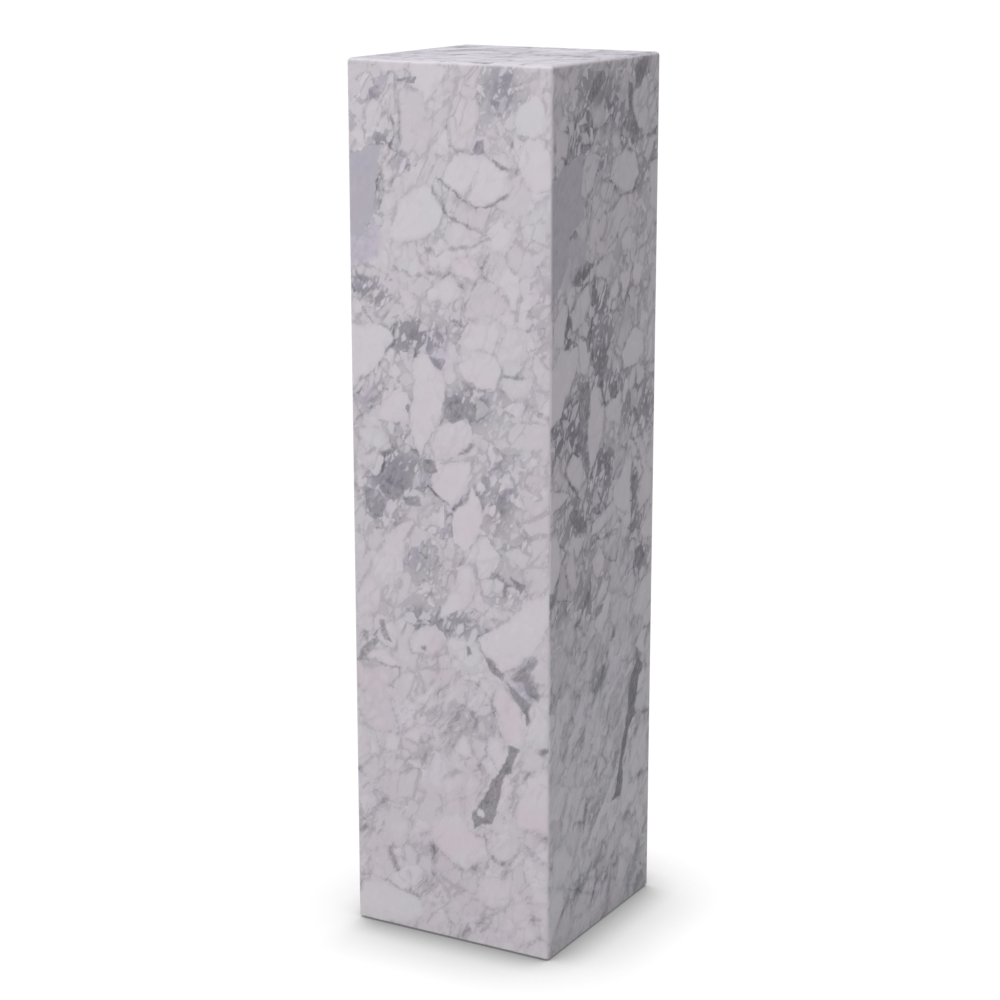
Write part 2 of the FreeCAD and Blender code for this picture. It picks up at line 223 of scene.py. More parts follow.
# Dark patches: depth of tone from 0 to 1, violet from 0 to 1, outline.
FRONT_DARKS = (
    (0.6, 0.8, (30,33, 42,28, 40,42, 30,43)),
    (0.5, 0.2, (50,22, 90,15, 88,25, 67,23)),
    (0.5, 0.2, (27,75, 50,83, 48,92, 37,92, 30,83)),
    (0.65, 0.8, (162,83, 170,83, 172,95, 163,97, 157,92)),
    (0.45, 0.2, (193,10, 207,8, 203,30, 193,33)),
    (0.75, 0.6, (180,37, 190,38, 187,47)),
    (0.45, 0.2, (63,107, 87,110, 80,117, 67,113)),
    (0.55, 0.5, (67,303, 78,303, 90,310, 80,317)),
    (0.4, 0.9, (90,293, 127,290, 127,317, 103,317)),
    (0.65, 0.9, (103,320, 123,322, 117,333, 110,330)),
    (0.45, 0.2, (130,273, 153,277, 147,287, 133,283)),
    (0.3, 0.0, (230,205, 243,207, 240,215, 230,213)),
    (0.8, 0.3, (123,373, 133,357, 140,360, 145,370, 143,383, 133,390, 123,383)),
    (0.8, 0.1, (147,370, 162,370, 162,381, 153,388, 150,380)),
    (0.8, 0.2, (92,436, 103,436, 111,448, 103,449, 95,446)),
    (0.78, 0.4, (47,450, 63,448, 70,463, 67,477, 53,485, 40,480, 35,467)),
    (0.7, 0.6, (18,477, 37,480, 43,493, 40,507, 27,510, 20,497)),
    (0.7, 0.4, (67,480, 87,480, 90,488, 73,491)),
    (0.75, 0.2, (187,467, 197,460, 200,477, 195,487, 188,477)),
    (0.8, 0.7, (207,557, 225,563, 217,572, 212,567)),
    (0.45, 0.3, (83,607, 113,610, 110,620, 90,622)),
    (0.45, 0.3, (115,623, 160,600, 150,620, 127,637)),
    (0.65, 0.1, (33,631, 38,631, 50,652, 43,650)),
    (0.7, 0.1, (148,642, 153,643, 156,651, 151,653)),
    (0.6, 0.1, (88,651, 95,652, 95,657, 89,657)),
    (0.65, 0.1, (4,680, 7,669, 14,661, 24,654, 32,655, 26,662, 17,668, 12,679)),
    (0.68, 0.1, (167,644, 174,650, 184,656, 196,668, 195,675, 184,669, 177,662)),
    (0.68, 0.2, (207,672, 218,658, 236,644, 238,648, 227,661, 229,669, 237,677, 243,684, 239,693,
     231,690, 223,681, 221,674, 210,674)),
    (0.5, 0.3, (70,367, 80,377, 75,400, 83,417, 88,437, 77,427, 63,410, 60,393)),
    (0.5, 0.3, (122,483, 133,483, 147,470, 157,457, 150,473, 133,490, 130,507, 123,507)),
    (0.8, 0.2, (202,679, 211,685, 221,693, 229,699, 227,707, 230,717, 226,722, 223,712, 217,704,
     211,697, 206,687)),
    (0.85, 0.1, (203,753, 216,755, 208,766, 207,781, 198,785, 191,806, 184,837, 179,847, 168,849,
     158,858, 157,843, 165,827, 174,811, 184,795, 195,774, 201,762)),
    (0.5, 0.0, (222,866, 226,857, 238,850, 257,851, 257,856, 240,857, 230,866, 240,877, 257,880,
     250,886, 230,877)),
    (0.5, 0.0, (238,751, 257,745, 257,752, 244,757)),
)
# Veins: depth of tone, and the points that it runs through.
FRONT_VEINS = (
    (0.5, (0,110, 12,102, 27,95, 44,93)),
    (0.6, (44,118, 39,132, 35,147, 32,170, 23,184, 12,194)),
    (0.5, (58,62, 60,78, 55,92, 47,105)),
    (0.4, (128,70, 128,88, 140,96, 160,94)),
    (0.5, (118,126, 130,135, 145,145, 160,154, 178,152, 196,140, 204,130)),
    (0.4, (163,116, 155,130, 147,146)),
    (0.4, (112,128, 108,140, 120,150, 127,165, 145,172, 172,180, 182,168, 190,160)),
    (0.4, (100,200, 112,205, 130,200, 158,194, 178,184)),
    (0.4, (60,225, 80,232, 100,228, 120,228, 132,224, 145,240)),
    (0.4, (148,262, 155,245, 168,222, 176,205)),
    (0.3, (175,228, 195,242, 205,262, 225,258, 240,250)),
    (0.3, (196,74, 205,82, 215,98, 212,110, 200,112)),
    (0.3, (184,100, 190,108, 205,112, 222,104, 222,92)),
    (0.4, (60,290, 58,305, 47,318, 40,330, 22,352, 8,368)),
    (0.4, (0,240, 12,262, 22,280, 30,288)),
    (0.3, (5,400, 22,388, 45,372, 62,358)),
    (0.4, (132,430, 148,422, 158,414)),
    (0.3, (108,410, 112,398, 107,388)),
    (0.5, (102,465, 115,478, 130,484)),
    (0.3, (160,520, 150,535, 142,548)),
    (0.4, (2,680, 18,677, 33,678, 57,684, 60,690, 50,705)),
    (0.3, (165,690, 178,702, 185,720, 193,745, 193,756)),
    (0.3, (2,815, 14,806, 30,797)),
    (0.3, (225,790, 215,815, 205,838)),
    (0.4, (172,868, 175,882, 188,892, 205,893, 212,880)),
    (0.4, (2,943, 33,947, 60,951, 83,958)),
    (0.3, (95,880, 105,900, 100,920, 112,935)),
    (0.3, (45,905, 52,925, 62,940)),
    (0.4, (235,952, 243,950)),
)
RIGHT_STONES = (
    (0.85, 0.0, (187,40, 213,20, 240,27, 246,67, 220,87, 197,80, 187,60)),
    (0.91, 0.0, (140,110, 170,100, 197,110, 203,130, 187,150, 167,147, 137,133)),
    (0.85, 0.0, (93,133, 127,130, 140,143, 123,163, 107,173, 90,160)),
    (0.9, 0.0, (100,197, 133,187, 140,200, 117,213, 100,207)),
    (0.95, -0.6, (160,200, 177,190, 197,197, 190,213, 167,213)),
    (0.88, 0.2, (93,220, 140,213, 150,223, 127,240, 100,233)),
    (0.95, 0.0, (133,257, 153,237, 160,253, 147,263)),
    (0.95, 0.0, (43,267, 63,247, 83,237, 92,257, 73,280, 50,287)),
    (0.97, 0.0, (7,273, 27,250, 38,257, 33,283, 27,300, 7,297)),
    (0.9, 0.0, (60,290, 77,277, 90,287, 83,300)),
    (1.0, 0.0, (-3,325, 23,303, 60,302, 60,320, 50,340, 33,357, 23,377, -3,390)),
    (1.0, 0.0, (167,330, 193,302, 217,310, 222,333, 207,345, 172,348)),
    (0.85, 0.0, (33,60, 50,60, 50,73, 37,78)),
    (0.85, 0.0, (63,77, 77,73, 83,87, 63,90)),
    (0.75, 0.0, (87,53, 117,40, 120,67, 93,77)),
    (0.88, 0.0, (133,83, 153,77, 160,97, 140,97)),
    (0.97, 0.1, (88,360, 100,352, 117,357, 123,380, 123,407, 110,430, 95,450, 87,437, 83,417,
     88,383)),
    (0.95, 0.1, (128,382, 147,374, 164,371, 166,392, 163,409, 147,404, 129,396)),
    (0.95, 0.0, (33,437, 52,419, 74,434, 74,446, 66,464, 47,456)),
    (0.97, 0.3, (-3,453, 27,457, 43,467, 23,477, -3,480)),
    (0.97, 0.0, (170,467, 190,443, 193,467, 192,493, 192,533, 177,533, 167,517, 148,497, 150,483)),
    (0.97, 0.2, (97,512, 122,500, 150,494, 159,504, 140,514, 112,524, 96,524)),
    (0.97, 0.0, (100,553, 117,543, 128,553, 127,570, 110,577, 100,563)),
    (0.93, 0.0, (110,600, 123,583, 143,583, 133,600, 110,613)),
    (0.9, 0.0, (167,580, 187,560, 190,580, 173,593)),
    (0.92, -0.2, (220,547, 257,515, 257,563, 227,557)),
    (0.85, 0.0, (37,547, 53,530, 60,553, 63,580, 47,577)),
    (0.95, 0.0, (117,667, 127,643, 143,627, 137,650)),
    (0.95, -0.1, (200,643, 220,610, 257,597, 257,633, 227,653)),
    (0.85, 0.2, (200,433, 220,433, 233,453, 220,463)),
    (0.9, 0.0, (73,777, 103,773, 100,790, 77,783)),
    (0.95, 0.1, (203,807, 223,787, 246,793, 243,843, 207,847, 197,827)),
    (0.92, 0.0, (47,920, 70,907, 73,927, 53,933)),
    (0.98, 0.2, (193,700, 207,698, 197,713, 180,717)),
    (0.9, -0.5, (213,747, 243,747, 237,767, 217,763)),
)
RIGHT_DARKS = (
    (0.75, 0.2, (77,37, 93,20, 113,13, 118,22, 107,32, 87,43)),
    (0.75, 0.8, (190,13, 203,7, 223,5, 217,20, 203,35, 193,35)),
    (0.75, 0.4, (177,27, 185,30, 183,53, 190,67, 202,83, 197,90, 180,80, 173,50)),
    (0.6, 0.8, (163,68, 185,75, 204,84, 190,89, 165,75)),
    (0.45, 0.2, (123,47, 135,43, 150,60, 143,73, 128,60)),
    (0.65, 0.1, (73,50, 82,50, 83,65, 75,63)),
    (0.45, 0.1, (93,113, 117,107, 133,103, 113,117, 100,123)),
    (0.4, 0.4, (37,177, 57,175, 60,187, 43,187)),
    (0.59, 0.1, (50,227, 67,217, 83,217, 83,230, 60,233)),
    (0.45, 0.2, (93,243, 133,247, 123,277, 103,280)),
    (0.45, 0.1, (100,313, 117,309, 140,318, 137,337, 120,348, 100,346)),
    (0.75, 0.1, (110,326, 123,322, 134,326, 130,338, 118,343, 108,338)),
    (0.5, 0.3, (24,372, 45,356, 66,350, 70,385, 64,415, 40,412, 25,400)),
    (0.62, 0.3, (66,348, 87,348, 89,366, 85,392, 83,427, 90,441, 79,444, 75,430, 64,419, 66,403,
     71,387, 68,366)),
    (0.75, 0.1, (138,362, 150,357, 157,363, 156,372, 140,374)),
    (0.78, 0.3, (44,489, 62,486, 79,504, 79,514, 63,513, 50,500)),
    (0.8, 0.1, (194,474, 210,474, 209,487, 201,500, 196,493)),
    (0.65, 0.2, (196,392, 203,398, 213,413, 205,413, 198,402)),
    (0.8, 0.3, (207,567, 220,563, 233,577, 220,593, 207,583)),
    (0.5, 0.2, (183,535, 207,520, 210,533, 200,547)),
    (0.5, 0.2, (153,563, 163,553, 160,573)),
    (0.6, 0.2, (107,617, 127,610, 123,617, 110,621)),
    (0.65, 0.2, (147,661, 157,645, 155,657)),
    (0.65, 0.3, (-2,573, 17,567, 10,583, -2,588)),
    (0.4, 0.9, (100,493, 140,497, 145,507, 105,503)),
    (0.5, 0.9, (-2,400, 12,385, 30,377, 20,395)),
    (0.85, 0.1, (213,690, 218,700, 228,709, 227,717, 218,720, 215,743, 210,757, 212,767, 203,773,
     195,783, 187,800, 180,817, 180,843, 177,858, 153,859, 163,850, 172,823, 180,793, 188,777,
     190,763, 193,757, 195,727, 202,713, 213,703)),
    (0.45, 0.1, (207,787, 223,782, 217,790, 207,795)),
    (0.5, 0.1, (213,967, 227,960, 223,973, 214,973)),
)
RIGHT_VEINS = (
    (0.5, (58,47, 54,60, 50,75, 41,92)),
    (0.5, (12,104, 20,97, 34,104, 36,112, 24,116, 13,109)),
    (0.4, (133,133, 157,147, 170,152, 188,151, 200,142)),
    (0.4, (100,125, 96,138, 80,145, 78,158)),
    (0.4, (52,120, 62,140, 58,160)),
    (0.3, (105,218, 128,208, 150,196, 160,180, 172,170)),
    (0.5, (98,240, 95,262, 92,285, 90,305, 98,330)),
    (0.4, (38,262, 42,285, 36,300)),
    (0.4, (60,322, 70,335, 80,345)),
    (0.4, (200,95, 215,90, 232,92, 246,82)),
    (0.4, (118,352, 112,366, 118,378, 128,378)),
    (0.4, (160,505, 172,512, 183,517, 165,523)),
    (0.5, (95,535, 108,528, 122,535, 145,530)),
    (0.4, (30,440, 45,455, 60,470)),
    (0.4, (128,553, 140,560, 152,565)),
    (0.4, (175,595, 190,588, 206,586)),
    (0.4, (22,515, 26,535, 36,548, 40,575, 35,600)),
    (0.4, (60,620, 75,612, 95,580, 90,570)),
    (0.3, (40,740, 52,722, 62,735, 48,748)),
    (0.3, (30,795, 42,802, 52,812)),
    (0.3, (50,930, 68,940, 93,953, 115,957)),
    (0.3, (200,850, 217,852, 238,846, 248,850)),
    (0.3, (225,770, 235,775, 247,772)),
)
# How dark the paste between the stones is: middle, half width, half height, depth of tone.
FRONT_PASTE = (
    (30, 250, 36, 24, 0.62), (85, 300, 40, 26, 0.74), (35, 370, 34, 26, 0.45),
    (60, 460, 44, 34, 0.8), (150, 372, 36, 24, 0.7), (205, 350, 40, 30, 0.4),
    (75, 400, 26, 36, 0.6), (185, 455, 36, 50, 0.55), (95, 545, 34, 44, 0.42),
    (120, 618, 60, 20, 0.6), (200, 565, 30, 30, 0.45), (222, 685, 26, 22, 0.7),
    (165, 715, 36, 36, 0.4), (95, 740, 70, 60, 0.22), (60, 22, 50, 12, 0.35),
    (190, 30, 30, 30, 0.55), (60, 85, 22, 36, 0.5), (240, 262, 16, 50, 0.3),
    (100, 910, 30, 50, 0.35), (22, 860, 24, 60, 0.2), (190, 970, 60, 24, 0.25),
    (20, 110, 20, 14, 0.4), (40, 150, 10, 46, 0.4), (200, 510, 30, 34, 0.45),
    (30, 655, 34, 14, 0.5), (130, 510, 16, 30, 0.4), (30, 60, 30, 40, 0.35),
    (205, 800, 14, 40, 0.25), (130, 290, 30, 16, 0.4), (110, 385, 12, 30, 0.4),
    (45, 500, 34, 24, 0.45),
)
RIGHT_PASTE = (
    (100, 28, 50, 22, 0.45), (205, 20, 34, 26, 0.5), (185, 75, 30, 30, 0.52),
    (60, 75, 44, 32, 0.5), (25, 108, 24, 20, 0.5), (140, 55, 40, 26, 0.55), (70, 226, 34, 14, 0.8),
    (115, 295, 34, 50, 0.55), (62, 395, 34, 52, 0.8), (22, 395, 22, 30, 0.7),
    (145, 365, 34, 26, 0.7), (205, 395, 50, 46, 0.5), (60, 500, 44, 36, 0.55),
    (115, 480, 50, 30, 0.6), (118, 450, 40, 24, 0.75), (200, 510, 24, 50, 0.65),
    (90, 590, 60, 40, 0.3), (15, 575, 24, 30, 0.55), (215, 580, 26, 24, 0.6),
    (110, 120, 40, 30, 0.35), (190, 260, 50, 60, 0.3), (60, 130, 14, 60, 0.35),
    (220, 130, 26, 40, 0.35), (110, 720, 90, 60, 0.2), (60, 850, 60, 44, 0.2),
    (100, 940, 50, 24, 0.35), (220, 965, 26, 20, 0.35), (215, 720, 26, 36, 0.3),
    (45, 290, 20, 30, 0.5),
)
SOLID_DARK = 0.6  # a patch darker than this is one dark stone; paler, it is dark paste
FRONT_BEADS = ((167, 837, 5.6),)  # a round pale stone in the dark streak: middle and radius
EVEN_GREY_FRONT = (-3,112, 10,102, 27,94, 43,93, 37,140, 33,167, 20,187, -3,200)
LILAC_FRONT = (-3,200, 20,187, 34,172, 42,190, 38,215, 20,224, -3,228)
EVEN_GREY_RIGHT = (-3,122, 33,103, 70,98, 66,133, 72,165, 37,186, 40,205, 24,232, -3,258)
LILAC_RIGHT = (37,186, 60,180, 75,195, 80,215, 60,222, 30,240, 24,232, 40,205)


def face_pattern(u, v, layout, seed, ripple):
    """The fields of one slab's face at each point. stone, dark, grey and lilac are signed
    distances in millimetres, positive inside; the others are shares from 0 to 1, and warmth
    from -1 to 1. The whole layout is bent by slow and quick drifts before it is looked up."""
    stones, darks, beads, veins, paste_spots, even_grey, lilac, way = layout
    bend = ripple * np.stack([drift(u, v, 130, seed + 3, 2), drift(u, v, 130, seed + 4, 2)])
    wander = 3.2 * np.stack([drift(u, v, 19, seed + 1, 4), drift(u, v, 19, seed + 2, 4)])
    pu, pv = u + bend[0] + wander[0], v + bend[1] + wander[1]

    stone = np.full(u.shape, -30.0)
    white = np.full(u.shape, 0.8)
    warmth = np.zeros(u.shape)
    for whiteness, rose, outline in stones:
        depth = inside_outline(pu, pv, outline)
        nearer = depth > stone
        stone = np.where(nearer, depth, stone)
        white = np.where(nearer, whiteness, white)
        warmth = np.where(nearer, rose, warmth)

    paste = np.zeros(u.shape)
    for middle_u, middle_v, half_u, half_v, depth in paste_spots:
        spread = ((pu - middle_u) / half_u) ** 2 + ((pv - middle_v) / half_v) ** 2
        paste = np.maximum(paste, depth * np.exp(-0.8 * spread ** 1.5))
    for depth_of_tone, hue, outline in darks:
        if depth_of_tone < SOLID_DARK:
            reach = np.clip(inside_outline(pu, pv, outline) / 5 + 0.7, 0, 1)
            paste = np.maximum(paste, (depth_of_tone + 0.15) * reach)
    paste = way["contrast"] * (paste + 0.14 * drift(u, v, 40, seed + 5)) + way["everywhere"]
    paste = np.clip(paste, 0, 1)

    flow = np.clip((pv + 12 * drift(u, v, 50, seed + 6) - way["flow_from"]) / 60 + 0.5, 0, 1)
    # cells of three sizes fill the rest: a large cell is one stone, or breaks up into smaller
    for size, whole, gap in ((38, 0.60, 1.5), (20, 0.62, 1.2), (11, 0.70, 0.8)):
        depth, number = rubble(pu, pv, size, seed + int(size))
        kept = number < whole * (1.15 - 1.3 * paste) * (1 - 0.45 * flow)
        room = depth - gap - 2.0 * drift(u, v, 25, seed + int(size) + 3)
        room = np.where(kept, np.minimum(room, -stone - 1.5), -30.0)
        nearer = room > np.maximum(stone, -1.5)
        shade = scatter(np.floor(number * 4096), np.floor(number * 977), seed + 9)
        stone = np.where(nearer, room, stone)
        white = np.where(nearer, 0.99 - 0.14 * shade - 0.30 * paste * shade, white)
        warmth = np.where(nearer, 0.9 * scatter(np.floor(number * 2048), np.floor(number * 311),
                                                seed + 11) - 0.35, warmth)

    dark = np.full(u.shape, -30.0)
    dark_tone = np.zeros(u.shape)
    violet = np.zeros(u.shape)
    for depth_of_tone, hue, outline in darks:
        depth = inside_outline(pu, pv, outline)
        violet = np.maximum(violet, hue * np.clip(depth / 6 + 1, 0, 1))
        nearer = (depth > dark) & (depth_of_tone >= SOLID_DARK)
        dark = np.where(nearer, depth, dark)
        dark_tone = np.where(nearer, depth_of_tone, dark_tone)

    for middle_u, middle_v, radius in beads:
        away = np.hypot(pu - middle_u, pv - middle_v) - radius
        dark = np.minimum(dark, away)
        stone = np.maximum(stone, -away)
        white = np.where(away < 1, 1.0, white)

    vein = np.zeros(u.shape)
    vein_side = np.full(u.shape, 30.0)
    for depth_of_tone, line in veins:
        side = side_of_line(pu, pv, line)
        closer = np.abs(side) < np.abs(vein_side)
        vein_side = np.where(closer, side, vein_side)
        vein = np.where(closer, depth_of_tone * np.clip(2.2 - np.abs(side) / 4, 0, 1), vein)
    return {"stone": stone, "white": white, "warmth": warmth, "paste": paste, "dark": dark,
            "dark_tone": dark_tone, "violet": violet, "vein": vein,
            "vein_side": vein_side, "flow": flow, "colourful": np.full(u.shape, way["colourful"]),
            "gain": np.full(u.shape, way["gain"]), "cast": np.full(u.shape, way["cast"]),
            "flush": np.full(u.shape, way["flush"]),
            "grey": inside_outline(pu, pv, even_grey), "lilac": inside_outline(pu, pv, lilac)}


# ================================================================ slab meshes
def steps(low, high, pitch, arris_low, arris_high):
    """Positions across a face: about one pitch apart, and closer over each rounded arris."""
    turns = 6
    near = np.linspace(low, low + ARRIS, turns + 1) if arris_low else np.array([low])
    far = np.linspace(high - ARRIS, high, turns + 1) if arris_high else np.array([high])
    count = int(round((far[0] - near[-1]) / pitch))
    return np.concatenate([near[:-1], np.linspace(near[-1], far[0], count + 1), far[1:]])


def closed_shell(name, face, back):
    """A mesh from a grid of face points, a ring of points behind its rim, and a fan over the
    back. Both grids go across and then up, and the face looks towards the viewer."""
    tall, wide = face.shape[:2]
    number = np.arange(tall * wide).reshape(tall, wide)
    quads = np.stack([number[:-1, :-1], number[:-1, 1:], number[1:, 1:], number[1:, :-1]], -1)
    rim = np.concatenate([number[0, :-1], number[:-1, -1], number[-1, :0:-1], number[:0:-1, 0]])
    behind = back.reshape(-1, 3)[rim]
    ring = tall * wide + np.arange(rim.size)
    after = np.roll(np.arange(rim.size), -1)
    sides = np.stack([rim[after], rim, ring, ring[after]], -1)
    middle = ring[-1] + 1
    fan = np.stack([ring[after], ring, np.full(rim.size, middle)], -1)
    points = np.concatenate([face.reshape(-1, 3), behind, behind.mean(0)[None]])
    quads = quads.reshape(-1, 4)
    mesh = bpy.data.meshes.new(name)
    mesh.from_pydata(points.tolist(), [], quads.tolist() + sides.tolist() + fan.tolist())
    mesh.polygons.foreach_set("use_smooth", np.arange(len(mesh.polygons)) < len(quads))
    return mesh, rim


def add_fields(mesh, fields):
    """Each field as an attribute of the mesh's points, which the marble's nodes read."""
    for name, values in fields.items():
        kind = "FLOAT_VECTOR" if values.ndim == 2 else "FLOAT"
        layer = mesh.attributes.new(name, kind, "POINT")
        layer.data.foreach_set("vector" if values.ndim == 2 else "value",
                               np.ascontiguousarray(values, np.float32).ravel())


def slab_piece(name, across, up, turn, layout, seed, ripple, mirrored, slice_number, top):
    """One slab, with the marble's fields on every point of it. The side of a box is pulled back to
    the box's core, one arris radius inside, and pushed out again by that radius, which rounds it.
    The upright slabs are worked out as the front one and then turned about +Z."""
    a, b = np.meshgrid(across, up)
    if top:
        point = np.stack([a, b, np.full(a.shape, HEIGHT)], -1)
        low = np.array([ARRIS - HALF, ARRIS - HALF, 0])
    else:
        point = np.stack([a, np.full(a.shape, -HALF), b], -1)
        low = np.array([ARRIS - HALF, ARRIS - HALF, -1.0])
    high = np.array([HALF - ARRIS, HALF - ARRIS, HEIGHT - ARRIS])
    core = np.clip(point, low, high)
    out = point - core
    out /= np.linalg.norm(out, axis=-1, keepdims=True)
    cut = np.zeros(a.shape) if top else np.clip(FOOT + FOOT_BEVEL - b, 0, None)
    face = core + out * (ARRIS - cut)[..., None]
    inner_low = np.array([SLAB - HALF, SLAB - HALF, 0 if top else FOOT])
    inner_high = np.array([HALF - SLAB, HALF - SLAB, HEIGHT - SLAB])
    back = np.clip(point, inner_low, inner_high)
    spin = np.array([[math.cos(turn), -math.sin(turn), 0],
                     [math.sin(turn), math.cos(turn), 0], [0, 0, 1]])
    mesh, rim = closed_shell(name, face @ spin.T, back @ spin.T)

    u = ((a + HALF) / MM).ravel()
    v = ((HALF - b) if top else (HEIGHT - b)).ravel() / MM
    where = (FACE_WIDTH - u, v) if mirrored else (u, v)
    fields = face_pattern(*where, layout, seed, ripple)
    rounding = np.clip((1 - np.abs(out).max(-1)) / 0.25, 0, 1)  # 1 halfway round an arris
    # a painted highlight along the arrises: full on the top's arrises, a quarter on the upright
    # ones
    fields["rubbed"] = (rounding * np.where(np.abs(out[..., 2]) > 0.05, 1.0, 0.25)).ravel()
    behind = {key: np.concatenate([value, value[rim], [0.0]]) for key, value in fields.items()}
    block_u = np.concatenate([u, u[rim], [FACE_WIDTH / 2]]) * MM
    block_v = np.concatenate([v, v[rim], [FACE_HEIGHT / 2]]) * MM
    depth = np.concatenate([np.zeros(u.size), np.full(rim.size + 1, SLAB)]) + 0.4 * slice_number
    behind["block"] = np.stack([block_u, block_v, depth], -1)
    add_fields(mesh, behind)
    piece = bpy.data.objects.new(name, mesh)
    bpy.context.scene.collection.objects.link(piece)
    return piece


# The way a face looks: contrast of its paste and how much of that is everywhere, the height that
# its flow starts at, how strong its colours are, the gain of its tones, its violet cast, and the
# flush of its flow, rose above nought and green below.
FRONT_WAY = {"contrast": 0.95, "everywhere": 0.12, "flow_from": 670, "colourful": 1.0,
             "gain": 1.08, "cast": 0.0, "flush": 0.25}
RIGHT_WAY = {"contrast": 1.0, "everywhere": 0.19, "flow_from": 620, "colourful": 0.7,
             "gain": 1.35, "cast": 0.0, "flush": -1.0}
TOP_WAY = {"contrast": 0.9, "everywhere": 0.25, "flow_from": -60, "colourful": 1.0,
           "gain": 1.65, "cast": 1.0, "flush": 0.0}
FRONT_LAYOUT = (FRONT_STONES, FRONT_DARKS, FRONT_BEADS, FRONT_VEINS, FRONT_PASTE,
                EVEN_GREY_FRONT, LILAC_FRONT, FRONT_WAY)
RIGHT_LAYOUT = (RIGHT_STONES, RIGHT_DARKS, (), RIGHT_VEINS, RIGHT_PASTE,
                EVEN_GREY_RIGHT, LILAC_RIGHT, RIGHT_WAY)
NOWHERE = (-19,-19, -18,-19, -18,-18)
TOP_PASTE = ((60, 60, 60, 30, 0.2), (190, 130, 50, 40, 0.25))
TOP_LAYOUT = ((), (), (), (), TOP_PASTE, NOWHERE, NOWHERE, TOP_WAY)
PITCH = 1.7 * MM


# ================================================================ materials
class Recipe:
    """A material's node tree, with short calls for the nodes that a finish is made of."""

    def __init__(self, name):
        self.material = bpy.data.materials.new(name)
        self.material.use_nodes = True
        self.tree = self.material.node_tree
        self.tree.nodes.clear()
        self.shader = self.tree.nodes.new("ShaderNodeBsdfPrincipled")
        output = self.tree.nodes.new("ShaderNodeOutputMaterial")
        self.tree.links.new(self.shader.outputs[0], output.inputs["Surface"])

    def put(self, socket, value):
        if isinstance(value, bpy.types.NodeSocket):
            self.tree.links.new(value, socket)
        else:
            socket.default_value = value

    def node(self, kind, settings=None, **inputs):
        made = self.tree.nodes.new("ShaderNode" + kind)
        for key, value in (settings or {}).items():
            setattr(made, key, value)
        for key, value in inputs.items():
            self.put(made.inputs[key.replace("_", " ")], value)
        return made

    def math(self, operation, *values):
        made = self.tree.nodes.new("ShaderNodeMath")
        made.operation = operation
        for socket, value in zip(made.inputs, values):
            self.put(socket, value)
        return made.outputs[0]

    def plus(self, first, second):
        return self.math("ADD", first, second)

    def minus(self, first, second):
        return self.math("SUBTRACT", first, second)

    def times(self, first, second):
        return self.math("MULTIPLY", first, second)

    def larger(self, first, second):
        return self.math("MAXIMUM", first, second)

    def absolute(self, value):
        return self.math("ABSOLUTE", value)

    def centred(self, value):
        return self.minus(value, 0.5)

    def surface(self, colour, roughness, height, strength, distance):
        """The shader's colour and roughness, and a bump of the given height."""
        bump = self.node("Bump", Strength=strength, Distance=distance)
        self.put(bump.inputs["Height"], height)
        self.put(self.shader.inputs["Base Color"], colour)
        self.put(self.shader.inputs["Roughness"], roughness)
        self.put(self.shader.inputs["Normal"], bump.outputs[0])
        return self.material

    def tinted(self, share, colour, tint):
        """The colour multiplied by a tint, as far as the share says."""
        return self.blend(share, colour, (*tint, 1.0), "MULTIPLY")

    def field(self, name, vector=False):
        made = self.node("Attribute", {"attribute_name": name})
        return made.outputs["Vector" if vector else "Fac"]

    def noise(self, where, scale, detail=3.0, roughness=0.5, distortion=0.0):
        made = self.node("TexNoise", Vector=where, Scale=scale, Detail=detail,
                         Roughness=roughness, Distortion=distortion)
        return made.outputs[0]

    def between(self, value, low, high, start=0.0, end=1.0):
        """Smoothly from start to end as the value goes from low to high."""
        made = self.node("MapRange", {"interpolation_type": "SMOOTHSTEP"})
        for key, number in (("Value", value), ("From Min", low), ("From Max", high),
                            ("To Min", start), ("To Max", end)):
            self.put(made.inputs[key], number)
        return made.outputs["Result"]

    def blend(self, share, first, second, kind="MIX"):
        made = self.node("Mix", {"data_type": "RGBA", "blend_type": kind})
        self.put(made.inputs["Factor"], share)
        self.put(made.inputs[6], first)
        self.put(made.inputs[7], second)
        return made.outputs[2]

    def lerp(self, share, first, second):
        made = self.node("Mix", {"data_type": "FLOAT"})
        self.put(made.inputs["Factor"], share)
        self.put(made.inputs[2], first)
        self.put(made.inputs[3], second)
        return made.outputs[0]

    def ramp(self, value, stops):
        made = self.node("ValToRGB", Fac=value)
        bar = made.color_ramp
        bar.interpolation = "EASE"
        while len(bar.elements) < len(stops):
            bar.elements.new(0.5)
        for element, (place, colour) in zip(bar.elements, stops):
            element.position = place
            element.color = (*colour, 1.0)
        return made.outputs[0]

    def shifted(self, where, amount, scale, detail=2.0):
        """The place moved by cloudy noise, so that what is drawn there has uneven edges."""
        cloud = self.node("TexNoise", Vector=where, Scale=scale, Detail=detail)
        centred = self.node("VectorMath", {"operation": "SUBTRACT"})
        self.put(centred.inputs[0], cloud.outputs[1])
        centred.inputs[1].default_value = (0.5, 0.5, 0.5)
        scaled = self.node("VectorMath", {"operation": "SCALE"}, Scale=amount)
        self.put(scaled.inputs[0], centred.outputs[0])
        moved = self.node("VectorMath", {"operation": "ADD"})
        self.put(moved.inputs[0], where)
        self.put(moved.inputs[1], scaled.outputs[0])
        return moved.outputs[0]

    def crumbs(self, where, scale, thin, wide):
        """Small broken stones: how far inside one, from 0 to 1, and a number for each."""
        edge = self.node("TexVoronoi", {"feature": "DISTANCE_TO_EDGE"}, Vector=where, Scale=scale)
        cell = self.node("TexVoronoi", {"feature": "F1"}, Vector=where, Scale=scale)
        parts = self.node("SeparateColor")
        self.put(parts.inputs[0], cell.outputs["Color"])
        inside = self.between(edge.outputs["Distance"], thin, wide)
        return inside, parts.outputs[0], parts.outputs[1]


